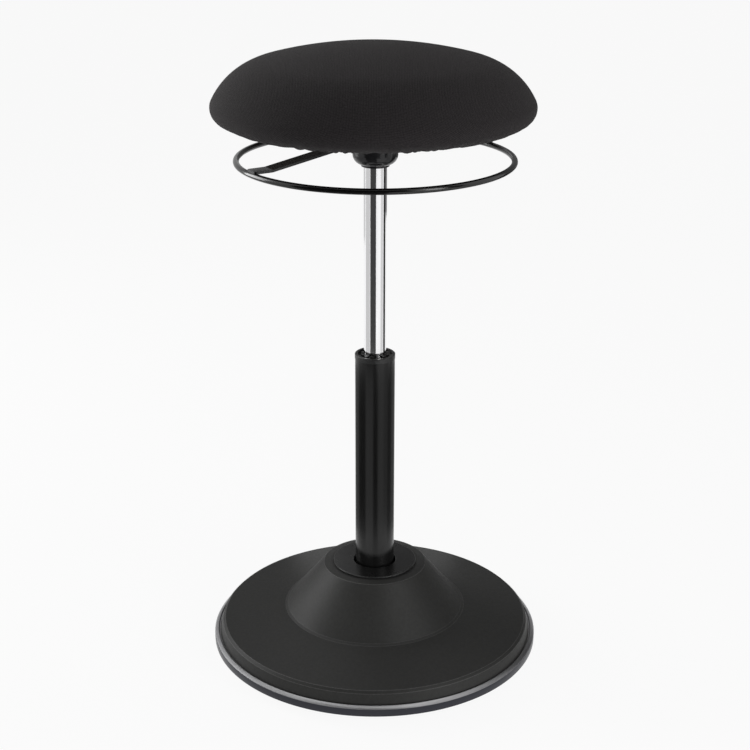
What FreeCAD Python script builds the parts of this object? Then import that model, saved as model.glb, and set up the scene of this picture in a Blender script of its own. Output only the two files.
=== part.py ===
import FreeCAD, Part
import Sketcher
import math
import os
from types import SimpleNamespace

os.makedirs("parts", exist_ok=True)
doc = FreeCAD.newDocument("perch_stool")

# Driving dimensions in millimetres. Heights are above the floor, angles in degrees

SIZES = {
    # Base, from the floor up
    "foot_flat_radius": 90.0,
    "sole_radius": 200.0,
    "sole_rise": 7.0,
    "sole_thick": 4.0,
    "tray_thick": 3.0,
    "tray_rib_thick": 2.5,
    "tray_inner_rib": 60.0,
    "tray_middle_rib": 120.0,
    "tray_outer_rib": 170.0,
    "tray_flange_width": 14.0,
    "rim_overhang": 12.0,
    "rim_underside": 12.0,
    "rim_side_height": 10.0,
    "rim_ledge_width": 10.0,
    "rim_lip_rise": 3.4,
    "rim_lip_width": 6.4,
    "rim_edge_chamfer": 1.2,
    "rim_ledge_height": 23.0,
    "rim_tray_step": 2.0,
    "weight_margin": 22.0,
    "weight_thick": 8.0,
    "weight_floor": 12.0,
    "weight_bore": 12.0,
    "weight_chamfer": 1.0,
    # Moulded cover with its cone
    "cover_wall": 3.0,
    "cover_skirt_overhang": 5.0,
    "cover_brim_step": 4.0,
    "cover_wall_lean": 1.5,
    "cover_brim_height": 40.0,
    "cone_foot_radius": 116.4,
    "cone_foot_rise": 14.5,
    "cone_top_radius": 66.5,
    "cone_top_drop": 1.0,
    "cone_height": 60.7,
    "cone_crown_radius": 58.0,
    "cover_hole_radius": 29.0,
    "cone_wall_run": 2.0,
    "cone_top_bevel": 1.4,
    "cone_foot_bevel": 1.6,
    "cone_foot_bevel_drop": 0.4,
    "brim_bevel": 3.2,
    "boss_radius": 5.0,
    "boss_circle": 150.0,
    "screw_count": 6.0,
    "screw_radius": 2.0,
    "screw_reach": 14.0,
    "screw_head_radius": 4.2,
    "screw_head_thick": 2.5,
    "screw_recess": 3.0,
    "screw_clearance": 0.3,
    # Collar plate on the cone
    "collar_radius": 54.05,
    "collar_thick": 2.6,
    "collar_chamfer": 0.7,
    "collar_bore": 27.2,
    "collar_skirt_thick": 1.5,
    "collar_skirt_depth": 9.0,
    # Socket that carries the column
    "socket_flange_radius": 60.0,
    "socket_flange_thick": 6.0,
    "socket_radius": 31.0,
    "socket_top_height": 90.0,
    "socket_bolt_circle": 46.0,
    "socket_bolt_radius": 4.0,
    "socket_bolt_flats": 13.0,
    "socket_bolt_head": 5.3,
    "socket_bolt_count": 4.0,
    "gusset_thick": 5.0,
    "gusset_reach": 24.0,
    "gusset_height": 48.0,
    "gusset_foot": 3.0,
    # Column tube
    "tube_radius": 25.0,
    "tube_wall": 2.0,
    "tube_foot_radius": 23.7,
    "tube_foot_rise": 10.0,
    "tube_top": 398.0,
    "tube_floor_recess": 3.0,
    "tube_floor_thick": 3.0,
    "tube_floor_hole": 4.6,
    # Guide bushing in the top of the column
    "bushing_length": 110.0,
    "bushing_cap_radius": 25.3,
    "bushing_cap_thick": 6.0,
    "bushing_trough_inner": 17.6,
    "bushing_trough_outer": 21.6,
    "bushing_trough_depth": 3.6,
    "bushing_chamfer": 0.7,
    "notch_count": 12.0,
    "notch_width": 3.0,
    "notch_depth": 2.6,
    "slide_fit": 0.06,
    # Thrust bearing under the piston rod
    "race_outer_radius": 12.0,
    "race_thick": 2.5,
    "race_bore": 5.2,
    "thrust_disc_thick": 3.0,
    "thrust_fit": 0.05,
    # Piston rod and what it carries
    "rod_radius": 5.0,
    "rod_foot_radius": 4.0,
    "rod_foot_rise": 0.6,
    "rod_thread_reach": 7.0,
    "rod_thread_radius": 3.5,
    "rod_fit": 0.08,
    "clip_thick": 1.2,
    "clip_radius": 7.5,
    "clip_gap": 3.0,
    "clip_groove_depth": 0.7,
    "clip_play": 0.3,
    "bumper_radius": 11.0,
    "bumper_height": 14.0,
    "bumper_bore_play": 0.2,
    "piston_rise": 32.0,
    "piston_height": 16.0,
    "piston_play": 0.2,
    "piston_seal_height": 6.0,
    "piston_seal_depth": 1.6,
    "piston_seal_fit": 0.05,
    "piston_nut_flats": 12.0,
    "piston_nut_height": 5.0,
    # Gas cylinder, at full height
    "cylinder_radius": 14.0,
    "cylinder_wall": 1.5,
    "cylinder_overlap": 108.0,
    "cylinder_top_drop": 22.0,
    "taper_drop": 47.0,
    "taper_top_radius": 13.4,
    "cylinder_chamfer": 0.8,
    "crimp_width": 3.2,
    "rod_guide_height": 11.5,
    "rod_seal_height": 5.0,
    "inner_tube_radius": 11.0,
    "inner_tube_wall": 1.0,
    "valve_drop": 89.0,
    "valve_top_drop": 26.0,
    "valve_floor": 12.0,
    "valve_neck_height": 24.0,
    "valve_neck_radius": 11.6,
    "pin_radius": 3.0,
    "pin_fit": 0.1,
    "pin_foot_play": 2.0,
    "pin_head_gap": 0.3,
    "pin_dome": 1.0,
    # Hub under the seat
    "sleeve_radius": 17.0,
    "sleeve_length": 43.0,
    "window_half_width": 12.2,
    "window_height": 23.0,
    "bell_radius": 27.4,
    "bell_wall": 2.0,
    "bell_depth": 47.3,
    "bell_lip_radius": 17.1,
    "bell_lip_height": 2.0,
    "bell_mouth_radius": 14.6,
    "bell_upright": 33.0,
    "slot_half_width": 10.8,
    "slot_height": 10.5,
    "plate_radius": 70.0,
    "plate_thick": 3.0,
    "plate_floor_height": 689.0,
    "plate_chamfer": 0.8,
    # Release ring and its cross-bar
    "ring_radius": 166.1,
    "ring_drop": 39.3,
    "ring_rod_radius": 3.6,
    "bar_azimuth": 32.7,
    "bar_width": 20.0,
    "bar_thick": 3.0,
    "bar_saddle_depth": 0.4,
    "bar_end": 168.5,
    "bar_foot_start": 145.0,
    "bar_middle_half": 34.0,
    "bar_below_pivot": 5.7,
    "bar_end_fillet": 3.0,
    "pivot_offset": 16.4,
    "pivot_drop": 9.0,
    "pivot_pin_radius": 2.5,
    "pivot_fit": 0.05,
    "pivot_chamfer": 0.4,
    "eye_radius": 4.4,
    "cheek_half_length": 4.1,
    "cheek_thick": 2.5,
    "cheek_play": 2.0,
    "cheek_below_pivot": 5.0,
    "bracket_web_thick": 2.5,
    "pin_overhang": 0.5,
    # Seat pan and its fasteners
    "pan_radius": 168.0,
    "pan_thick": 12.0,
    "pan_flat_radius": 152.0,
    "pan_edge_rise": 5.0,
    "pan_bolt_circle": 55.0,
    "pan_bolt_radius": 3.0,
    "pan_bolt_head_radius": 5.5,
    "pan_bolt_head": 3.5,
    "pan_bolt_key": 4.0,
    "pan_bolt_key_depth": 2.0,
    "pan_bolt_count": 4.0,
    "pan_bolt_reach": 11.0,
    "nut_flange_radius": 9.0,
    "nut_flange_thick": 1.5,
    "nut_barrel_radius": 4.2,
    "nut_barrel_depth": 8.5,
    "pan_hole_play": 0.3,
    # Upholstery
    "cushion_rise": 96.7,
    "seat_radius": 191.4,
    "cushion_edge_rise": 27.8,
    "crown_radius": 579.0,
    "shoulder_radius": 113.8,
    "edge_radius": 24.7,
    "underside_radius": 39.9,
    "cushion_foot_drop": 3.7,
    "hem_radius": 152.0,
    "foam_lip": 5.0,
    "cover_cloth_thick": 2.2,
    "elastic_width": 4.0,
    "elastic_thick": 2.4,
    "elastic_gap": 0.3,
}

ROWS_PER_COLUMN = 99
FULL_TURN = 360
LENGTH_TOLERANCE = 0.001


class Size:
    """A length that keeps its number and the expression tying it to the sheet."""

    def __init__(self, number, text):
        self.number = number
        self.text = text

    def __add__(self, other):
        other = sized(other)
        return Size(self.number + other.number, f"({self.text} + {other.text})")

    def __radd__(self, other):
        return sized(other) + self

    def __sub__(self, other):
        other = sized(other)
        return Size(self.number - other.number, f"({self.text} - {other.text})")

    def __rsub__(self, other):
        return sized(other) - self

    def __mul__(self, other):
        other = sized(other)
        return Size(self.number * other.number, f"({self.text} * {other.text})")

    def __rmul__(self, other):
        return self * other

    def __truediv__(self, other):
        other = sized(other)
        return Size(self.number / other.number, f"({self.text} / {other.text})")

    def __neg__(self):
        return Size(-self.number, f"(0 - {self.text})")


def sized(value):
    return value if isinstance(value, Size) else Size(float(value), str(value))


def root(value):
    value = sized(value)
    return Size(math.sqrt(value.number), f"sqrt({value.text})")


sheet = doc.addObject("Spreadsheet::Sheet", "Sizes")
named_sizes = {}
for row, (name, number) in enumerate(SIZES.items()):
    cell = "ABC"[row // ROWS_PER_COLUMN] + str(row % ROWS_PER_COLUMN + 1)
    sheet.set(cell, str(number))
    sheet.setAlias(cell, name)
    named_sizes[name] = Size(number, "Sizes." + name)
dim = SimpleNamespace(**named_sizes)
doc.recompute()

# Helpers for sub-parts, outlines and features

bodies = []


def new_body(label):
    body = doc.addObject("PartDesign::Body", label)
    body.AllowCompound = True
    bodies.append(body)
    return body


def origin_part(body, role):
    return next(part for part in body.Origin.OriginFeatures if part.Role == role)


def bind(thing, field, size):
    thing.setExpression(field, sized(size).text)


def new_sketch(body, name, plane, lift):
    sketch = body.newObject("Sketcher::SketchObject", name)
    sketch.AttachmentSupport = [(origin_part(body, plane), "")]
    sketch.MapMode = "FlatFace"
    if lift is not None:
        bind(sketch, "AttachmentOffset.Base.z", lift)
    return sketch


def pin_down(sketch, element, end, corner, tag):
    """Holds one end of an element at a corner, by named sizes."""
    for kind, axis, place in (("DistanceX", -2, corner[0]), ("DistanceY", -1, corner[1])):
        if isinstance(place, Size):
            constraint = Sketcher.Constraint(kind, -1, 1, element, end, place.number)
            index = sketch.addConstraint(constraint)
            sketch.renameConstraint(index, f"{kind}_{tag}")
            bind(sketch, f"Constraints.{kind}_{tag}", place)
        else:
            sketch.addConstraint(Sketcher.Constraint("PointOnObject", element, end, axis))


def arc_between(start, end, radius, anticlockwise):
    """The short arc from start to end; it always runs anticlockwise from its own first end."""
    chord = end - start
    middle = (start + end) / 2
    rise = math.sqrt(radius ** 2 - (chord.Length / 2) ** 2)
    side = FreeCAD.Vector(-chord.y, chord.x, 0).normalize()
    centre = middle + side * (rise if anticlockwise else -rise)
    first, last = (start, end) if anticlockwise else (end, start)
    angles = [math.atan2(point.y - centre.y, point.x - centre.x) for point in (first, last)]
    circle = Part.Circle(centre, FreeCAD.Vector(0, 0, 1), radius)
    return Part.ArcOfCircle(circle, angles[0], angles[1])


def outline(body, name, corners, plane="XZ_Plane", lift=None):
    """A closed outline. A corner is (across, up), and where an arc leads on from it,
    (across, up, radius, anticlockwise). Zero stands for a corner on the axis."""
    sketch = new_sketch(body, name, plane, lift)
    points = [FreeCAD.Vector(sized(c[0]).number, sized(c[1]).number, 0) for c in corners]
    ends = []
    for index, corner in enumerate(corners):
        start, end = points[index], points[(index + 1) % len(points)]
        if len(corner) == 2:
            sketch.addGeometry(Part.LineSegment(start, end))
            ends.append((1, 2))
        else:
            sketch.addGeometry(arc_between(start, end, corner[2].number, corner[3]))
            ends.append((1, 2) if corner[3] else (2, 1))
    for index, corner in enumerate(corners):
        following = (index + 1) % len(corners)
        joint = Sketcher.Constraint(
            "Coincident", index, ends[index][1], following, ends[following][0])
        sketch.addConstraint(joint)
    for index, corner in enumerate(corners):
        pin_down(sketch, index, ends[index][0], corner, index)
        if len(corner) > 2:
            place = sketch.addConstraint(Sketcher.Constraint("Radius", index, corner[2].number))
            sketch.renameConstraint(place, f"Radius_{index}")
            bind(sketch, f"Constraints.Radius_{index}", corner[2])
    return sketch


def circle(body, name, across, up, radius, plane="XY_Plane", lift=None):
    sketch = new_sketch(body, name, plane, lift)
    centre = FreeCAD.Vector(sized(across).number, sized(up).number, 0)
    sketch.addGeometry(Part.Circle(centre, FreeCAD.Vector(0, 0, 1), sized(radius).number))
    if isinstance(across, Size) or isinstance(up, Size):
        pin_down(sketch, 0, 3, (across, up), "centre")
    else:
        sketch.addConstraint(Sketcher.Constraint("Coincident", 0, 3, -1, 1))
    place = sketch.addConstraint(Sketcher.Constraint("Radius", 0, sized(radius).number))
    sketch.renameConstraint(place, "radius")
    bind(sketch, "Constraints.radius", radius)
    return sketch


def rectangle(left, right, low, high):
    return [(left, low), (right, low), (right, high), (left, high)]


def hexagon(across, up, flats):
    reach = flats / root(3)
    half = flats / 2
    return [
        (across + reach, up), (across + reach / 2, up + half), (across - reach / 2, up + half),
        (across - reach, up), (across - reach / 2, up - half), (across + reach / 2, up - half),
    ]


def revolve(body, name, section, kind="PartDesign::Revolution"):
    feature = body.newObject(kind, name)
    feature.Profile = section
    feature.ReferenceAxis = (section, ["V_Axis"])
    feature.Angle = FULL_TURN
    return feature


def turned(body, name, corners):
    return revolve(body, name, outline(body, name + "_section", corners))


def ring_groove(body, name, section):
    return revolve(body, name, section, "PartDesign::Groove")


def extrude(body, name, section, length, kind="PartDesign::Pad", both_ways=False, reverse=False):
    feature = body.newObject(kind, name)
    feature.Profile = section
    feature.Midplane = both_ways
    feature.Reversed = reverse
    bind(feature, "Length", length)
    return feature


def cut(body, name, section, length, both_ways=False, reverse=False):
    return extrude(body, name, section, length, "PartDesign::Pocket", both_ways, reverse)


def repeat(body, name, features, count):
    pattern = body.newObject("PartDesign::PolarPattern", name)
    pattern.Originals = features
    pattern.Axis = (origin_part(body, "Z_Axis"), [""])
    pattern.Angle = FULL_TURN
    bind(pattern, "Occurrences", count)
    body.Tip = pattern
    return pattern


def soften(body, name, base, edges, size, kind="PartDesign::Fillet"):
    feature = body.newObject(kind, name)
    feature.Base = (base, edges)
    bind(feature, "Radius" if kind == "PartDesign::Fillet" else "Size", size)
    return feature


# Base: rubber sole, tray, weight, rim, moulded cover and collar

dish_reach = dim.sole_radius - dim.foot_flat_radius
dish_radius = (dish_reach * dish_reach + dim.sole_rise * dim.sole_rise) / (2 * dim.sole_rise)


def dish_arc(depth):
    return dish_radius - depth


def dish_height(depth, radius):
    """Height of the dished layer that lies this deep inside the sole, outside the flat foot."""
    reach = radius - dim.foot_flat_radius
    arc = dish_arc(depth)
    return dish_radius - root(arc * arc - reach * reach)


tray_floor = dim.sole_thick
tray_inside = dim.sole_thick + dim.tray_thick
tray_rim_top = dim.rim_underside + dim.rim_tray_step
tray_flange_inner = dim.sole_radius - dim.tray_flange_width
weight_top = dim.weight_floor + dim.weight_thick
weight_radius = dim.sole_radius - dim.weight_margin
rim_radius = dim.sole_radius + dim.rim_overhang
rim_inner_radius = dim.sole_radius - dim.rim_ledge_width
skirt_radius = dim.sole_radius + dim.cover_skirt_overhang
brim_radius = skirt_radius - dim.cover_brim_step
cone_foot_height = dim.cover_brim_height + dim.cone_foot_rise
cone_crown_height = cone_foot_height + dim.cone_height
cone_top_height = cone_crown_height - dim.cone_top_drop


def make_sole():
    body = new_body("sole")
    turned(body, "tread", [
        (0, 0),
        (dim.foot_flat_radius, 0, dish_radius, True),
        (dim.sole_radius, dim.sole_rise),
        (dim.sole_radius, dish_height(tray_floor, dim.sole_radius), dish_arc(tray_floor), False),
        (dim.foot_flat_radius, tray_floor),
        (0, tray_floor),
    ])


def make_base_tray():
    body = new_body("base_tray")
    turned(body, "dish", [
        (0, tray_floor),
        (dim.foot_flat_radius, tray_floor, dish_arc(tray_floor), True),
        (dim.sole_radius, dish_height(tray_floor, dim.sole_radius)),
        (dim.sole_radius, tray_rim_top),
        (tray_flange_inner, tray_rim_top),
        (tray_flange_inner, dish_height(tray_inside, tray_flange_inner)),
        (dim.foot_flat_radius, tray_inside),
        (0, tray_inside),
    ])
    middle_depth = dim.sole_thick + dim.tray_thick / 2
    ribs = (
        ("inner_rib", dim.tray_inner_rib, middle_depth),
        ("middle_rib", dim.tray_middle_rib, dish_height(middle_depth, dim.tray_middle_rib)),
        ("outer_rib", dim.tray_outer_rib, dish_height(middle_depth, dim.tray_outer_rib)),
    )
    for name, radius, foot in ribs:
        turned(body, name, rectangle(radius - dim.tray_rib_thick, radius, foot, dim.weight_floor))


def make_weight_plate():
    body = new_body("weight_plate")
    edge = weight_radius - dim.weight_chamfer
    disc = turned(body, "disc", [
        (dim.weight_bore, dim.weight_floor),
        (edge, dim.weight_floor),
        (weight_radius, dim.weight_floor + dim.weight_chamfer),
        (weight_radius, weight_top - dim.weight_chamfer),
        (edge, weight_top),
        (dim.weight_bore, weight_top),
    ])
    diagonal = dim.socket_bolt_circle * root(0.5)
    thread = circle(body, "thread_circle", diagonal, diagonal, dim.socket_bolt_radius, lift=weight_top)
    threads = cut(body, "thread", thread, dim.weight_thick)
    repeat(body, "threads", [threads], dim.socket_bolt_count)
    way = circle(body, "screw_way_circle", dim.boss_circle, 0,
                 dim.screw_radius + dim.screw_clearance, lift=weight_top)
    ways = cut(body, "screw_way", way, dim.weight_thick)
    seat = circle(body, "screw_seat_circle", dim.boss_circle, 0,
                  dim.screw_head_radius + dim.screw_clearance, lift=dim.weight_floor)
    seats = cut(body, "screw_seat", seat, dim.screw_recess, reverse=True)
    repeat(body, "screw_ways", [ways, seats], dim.screw_count)


def make_rim_ring():
    body = new_body("rim_ring")
    side_top = dim.rim_underside + dim.rim_side_height
    lip_inner = rim_radius - dim.rim_lip_width
    turned(body, "band", [
        (rim_inner_radius, tray_rim_top),
        (dim.sole_radius, tray_rim_top),
        (dim.sole_radius, dim.rim_underside),
        (rim_radius - dim.rim_edge_chamfer, dim.rim_underside),
        (rim_radius, dim.rim_underside + dim.rim_edge_chamfer),
        (rim_radius, side_top),
        (lip_inner, side_top + dim.rim_lip_rise),
        (lip_inner, dim.rim_ledge_height),
        (rim_inner_radius, dim.rim_ledge_height),
    ])


def make_base_cover():
    body = new_body("base_cover")
    wall = dim.cover_wall
    lean = dim.cover_wall_lean
    turned(body, "shell", [
        (dim.cover_hole_radius, cone_crown_height - wall),
        (dim.cover_hole_radius, cone_crown_height),
        (dim.cone_crown_radius, cone_crown_height),
        (dim.cone_top_radius, cone_top_height),
        (dim.cone_top_radius + dim.cone_top_bevel, cone_top_height - dim.cone_top_bevel),
        (dim.cone_foot_radius - dim.cone_foot_bevel, cone_foot_height + dim.cone_foot_bevel),
        (dim.cone_foot_radius + dim.cone_foot_bevel, cone_foot_height - dim.cone_foot_bevel_drop),
        (brim_radius - dim.brim_bevel, dim.cover_brim_height),
        (brim_radius, dim.cover_brim_height - dim.brim_bevel),
        (skirt_radius, dim.rim_ledge_height),
        (skirt_radius - wall, dim.rim_ledge_height),
        (brim_radius - wall, dim.cover_brim_height - dim.brim_bevel - lean),
        (brim_radius - dim.brim_bevel - lean, dim.cover_brim_height - wall),
        (dim.cone_foot_radius - lean, cone_foot_height - wall),
        (dim.cone_top_radius - dim.cone_wall_run, cone_top_height - wall),
        (dim.cone_crown_radius - lean, cone_crown_height - wall),
    ])
    slope = (cone_foot_height - dim.cover_brim_height) / (brim_radius - dim.cone_foot_radius)
    boss_head = cone_foot_height - (dim.boss_circle - dim.cone_foot_radius) * slope - lean
    post = circle(body, "boss_circle", dim.boss_circle, 0, dim.boss_radius, lift=weight_top)
    posts = extrude(body, "boss", post, boss_head - weight_top)
    repeat(body, "bosses", [posts], dim.screw_count)
    pilot = circle(body, "pilot_circle", dim.boss_circle, 0, dim.screw_radius, lift=weight_top)
    pilots = cut(body, "pilot", pilot, dim.screw_reach, reverse=True)
    repeat(body, "pilots", [pilots], dim.screw_count)


def make_cover_screws():
    body = new_body("cover_screws")
    head_top = dim.weight_floor + dim.screw_recess
    head = circle(body, "head_circle", dim.boss_circle, 0, dim.screw_head_radius,
                  lift=head_top - dim.screw_head_thick)
    heads = extrude(body, "head", head, dim.screw_head_thick)
    shank = circle(body, "shank_circle", dim.boss_circle, 0, dim.screw_radius, lift=head_top)
    shanks = extrude(body, "shank", shank, weight_top + dim.screw_reach - head_top)
    repeat(body, "screws", [heads, shanks], dim.screw_count)


def make_collar():
    body = new_body("collar")
    low = cone_crown_height
    high = low + dim.collar_thick
    skirt = dim.collar_bore + dim.collar_skirt_thick
    turned(body, "plate", [
        (dim.collar_bore, low - dim.collar_skirt_depth),
        (skirt, low - dim.collar_skirt_depth),
        (skirt, low),
        (dim.collar_radius - dim.collar_chamfer, low),
        (dim.collar_radius, low + dim.collar_chamfer),
        (dim.collar_radius, high - dim.collar_chamfer),
        (dim.collar_radius - dim.collar_chamfer, high),
        (dim.collar_bore + dim.collar_chamfer, high),
        (dim.collar_bore, high - dim.collar_chamfer),
    ])


# Socket and column tube

socket_flange_top = weight_top + dim.socket_flange_thick
tube_foot = weight_top + dim.tube_foot_rise
tube_floor = tube_foot + dim.tube_floor_recess


def make_column_socket():
    body = new_body("column_socket")
    inner_foot = dim.tube_foot_radius - dim.tube_wall - dim.tube_wall / 2
    turned(body, "flanged_sleeve", [
        (inner_foot, weight_top),
        (dim.socket_flange_radius, weight_top),
        (dim.socket_flange_radius, socket_flange_top),
        (dim.socket_radius, socket_flange_top),
        (dim.socket_radius, dim.socket_top_height),
        (dim.tube_radius, dim.socket_top_height),
        (dim.tube_foot_radius, tube_foot),
        (inner_foot, tube_foot),
    ])
    root_radius = dim.socket_radius - dim.tube_wall
    gusset = outline(body, "gusset_outline", [
        (root_radius, socket_flange_top),
        (dim.socket_radius + dim.gusset_reach, socket_flange_top),
        (dim.socket_radius + dim.gusset_reach, socket_flange_top + dim.gusset_foot),
        (dim.socket_radius + dim.gusset_foot, socket_flange_top + dim.gusset_height),
        (root_radius, socket_flange_top + dim.gusset_height),
    ])
    gussets = extrude(body, "gusset", gusset, dim.gusset_thick, both_ways=True)
    repeat(body, "gussets", [gussets], dim.socket_bolt_count)
    diagonal = dim.socket_bolt_circle * root(0.5)
    way = circle(body, "bolt_way_circle", diagonal, diagonal, dim.socket_bolt_radius,
                 lift=socket_flange_top)
    ways = cut(body, "bolt_way", way, dim.socket_flange_thick)
    repeat(body, "bolt_ways", [ways], dim.socket_bolt_count)


def make_socket_bolts():
    body = new_body("socket_bolts")
    diagonal = dim.socket_bolt_circle * root(0.5)
    head = outline(body, "head_outline", hexagon(diagonal, diagonal, dim.socket_bolt_flats),
                   plane="XY_Plane", lift=socket_flange_top)
    heads = extrude(body, "head", head, dim.socket_bolt_head)
    shank = circle(body, "shank_circle", diagonal, diagonal, dim.socket_bolt_radius,
                   lift=socket_flange_top)
    shanks = extrude(body, "shank", shank, socket_flange_top - dim.weight_floor, reverse=True)
    repeat(body, "bolts", [heads, shanks], dim.socket_bolt_count)


tube_floor_top = tube_floor + dim.tube_floor_thick
tube_bore = dim.tube_radius - dim.tube_wall


def make_outer_tube():
    body = new_body("outer_tube")
    foot_bore = dim.tube_foot_radius - dim.tube_wall
    turned(body, "tube", [
        (dim.tube_floor_hole, tube_floor),
        (foot_bore, tube_floor),
        (foot_bore, tube_foot),
        (dim.tube_foot_radius, tube_foot),
        (dim.tube_radius, dim.socket_top_height),
        (dim.tube_radius, dim.tube_top),
        (tube_bore, dim.tube_top),
        (tube_bore, dim.socket_top_height),
        (foot_bore, tube_floor_top),
        (dim.tube_floor_hole, tube_floor_top),
    ])


def make_guide_bushing():
    body = new_body("guide_bushing")
    bore = dim.cylinder_radius + dim.slide_fit
    cap_top = dim.tube_top + dim.bushing_cap_thick
    trough = cap_top - dim.bushing_trough_depth
    turned(body, "sleeve", [
        (bore, dim.tube_top - dim.bushing_length),
        (tube_bore, dim.tube_top - dim.bushing_length),
        (tube_bore, dim.tube_top),
        (dim.bushing_cap_radius, dim.tube_top),
        (dim.bushing_cap_radius, cap_top - dim.bushing_chamfer),
        (dim.bushing_cap_radius - dim.bushing_chamfer, cap_top),
        (dim.bushing_trough_outer, cap_top),
        (dim.bushing_trough_outer, trough),
        (dim.bushing_trough_inner, trough),
        (dim.bushing_trough_inner, cap_top),
        (bore + dim.bushing_chamfer, cap_top),
        (bore, cap_top - dim.bushing_chamfer),
    ])
    half = dim.notch_width / 2
    notch = outline(body, "notch_outline", rectangle(
        dim.cylinder_radius - dim.cylinder_wall, dim.bushing_trough_inner + half, -half, half),
        plane="XY_Plane", lift=cap_top)
    notches = cut(body, "notch", notch, dim.notch_depth)
    repeat(body, "notches", [notches], dim.notch_count)


# Thrust bearing at the foot of the column: a plain disc between two steel washers

thrust_disc_foot = tube_floor_top + dim.race_thick
upper_race_foot = thrust_disc_foot + dim.thrust_disc_thick + dim.thrust_fit
upper_race_top = upper_race_foot + dim.race_thick


def make_thrust_bearing():
    lower = new_body("lower_race")
    turned(lower, "washer", rectangle(
        dim.race_bore, dim.race_outer_radius, tube_floor_top, thrust_disc_foot))
    disc = new_body("thrust_disc")
    turned(disc, "washer", rectangle(
        dim.race_bore, dim.race_outer_radius, thrust_disc_foot, thrust_disc_foot + dim.thrust_disc_thick))
    upper = new_body("upper_race")
    turned(upper, "washer", rectangle(
        dim.rod_foot_radius, dim.race_outer_radius, upper_race_foot, upper_race_top))


# Piston rod and what it carries

rod_foot = tube_foot + dim.rod_foot_rise
cylinder_foot = dim.tube_top - dim.cylinder_overlap
piston_foot = cylinder_foot + dim.piston_rise
clip_top = tube_floor - dim.clip_play
clip_groove_radius = dim.rod_foot_radius - dim.clip_groove_depth
inner_tube_bore = dim.inner_tube_radius - dim.inner_tube_wall
piston_top = piston_foot + dim.piston_height
rod_top = piston_top + dim.rod_thread_reach


def make_piston_rod():
    body = new_body("piston_rod")
    turned(body, "rod", [
        (0, rod_foot),
        (dim.rod_foot_radius, rod_foot),
        (dim.rod_foot_radius, clip_top - dim.clip_thick),
        (clip_groove_radius, clip_top - dim.clip_thick),
        (clip_groove_radius, clip_top),
        (dim.rod_foot_radius, clip_top),
        (dim.rod_foot_radius, upper_race_top),
        (dim.rod_radius, upper_race_top),
        (dim.rod_radius, piston_foot),
        (dim.rod_thread_radius, piston_foot),
        (dim.rod_thread_radius, rod_top),
        (0, rod_top),
    ])


def make_retaining_clip():
    body = new_body("retaining_clip")
    turned(body, "washer", rectangle(
        clip_groove_radius, dim.clip_radius, clip_top - dim.clip_thick, clip_top))
    half = dim.clip_gap / 2
    gap = outline(body, "gap_outline", rectangle(0, dim.clip_radius + half, -half, half),
                  plane="XY_Plane", lift=clip_top)
    cut(body, "gap", gap, dim.clip_thick)


def make_bumper():
    body = new_body("bumper")
    bore = dim.rod_radius + dim.bumper_bore_play
    waist = (bore + dim.bumper_radius) / 2
    top = upper_race_top + dim.bumper_height
    turned(body, "sleeve", [
        (bore, upper_race_top),
        (dim.bumper_radius, upper_race_top),
        (dim.bumper_radius, upper_race_top + dim.bumper_height / 3),
        (waist, upper_race_top + dim.bumper_height / 2),
        (dim.bumper_radius, top - dim.bumper_height / 3),
        (dim.bumper_radius, top),
        (bore, top),
    ])


def make_piston():
    body = new_body("piston_head")
    skirt = inner_tube_bore - dim.piston_play
    seal_foot = piston_foot + (dim.piston_height - dim.piston_seal_height) / 2
    groove = skirt - dim.piston_seal_depth
    turned(body, "head", [
        (dim.rod_thread_radius, piston_foot),
        (skirt, piston_foot),
        (skirt, seal_foot),
        (groove, seal_foot),
        (groove, seal_foot + dim.piston_seal_height),
        (skirt, seal_foot + dim.piston_seal_height),
        (skirt, piston_top),
        (dim.rod_thread_radius, piston_top),
    ])
    seal = new_body("piston_seal")
    turned(seal, "band", rectangle(
        groove, inner_tube_bore - dim.piston_seal_fit,
        seal_foot, seal_foot + dim.piston_seal_height))
    nut = new_body("piston_nut")
    across = outline(nut, "nut_outline", hexagon(sized(0), sized(0), dim.piston_nut_flats),
                     plane="XY_Plane", lift=piston_top)
    extrude(nut, "nut", across, dim.piston_nut_height)
    bore = circle(nut, "nut_bore_circle", 0, 0, dim.rod_thread_radius,
                  lift=piston_top + dim.piston_nut_height)
    cut(nut, "nut_bore", bore, dim.piston_nut_height)


# Gas cylinder that carries the seat, and the heights under the seat's mounting plate

plate_floor = dim.plate_floor_height
cylinder_top = plate_floor - dim.cylinder_top_drop
taper_foot = plate_floor - dim.taper_drop
valve_foot = plate_floor - dim.valve_drop
valve_top = plate_floor - dim.valve_top_drop
sleeve_foot = plate_floor - dim.sleeve_length
window_foot = plate_floor - dim.window_height
slot_head = window_foot + dim.slot_height
bell_foot = plate_floor - dim.bell_depth
bell_shoulder_height = plate_floor - dim.bell_upright
ring_height = plate_floor - dim.ring_drop
pivot_height = plate_floor - dim.pivot_drop
cheek_foot = pivot_height - dim.cheek_below_pivot
bar_middle_top = pivot_height - dim.bar_below_pivot
cylinder_bore = dim.cylinder_radius - dim.cylinder_wall
crimp_top = cylinder_foot + dim.cylinder_wall
rod_guide_top = crimp_top + dim.rod_guide_height
rod_seal_top = rod_guide_top + dim.rod_seal_height
pin_bore_floor = valve_foot + dim.valve_floor
bar_middle_foot = bar_middle_top - dim.bar_thick


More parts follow.
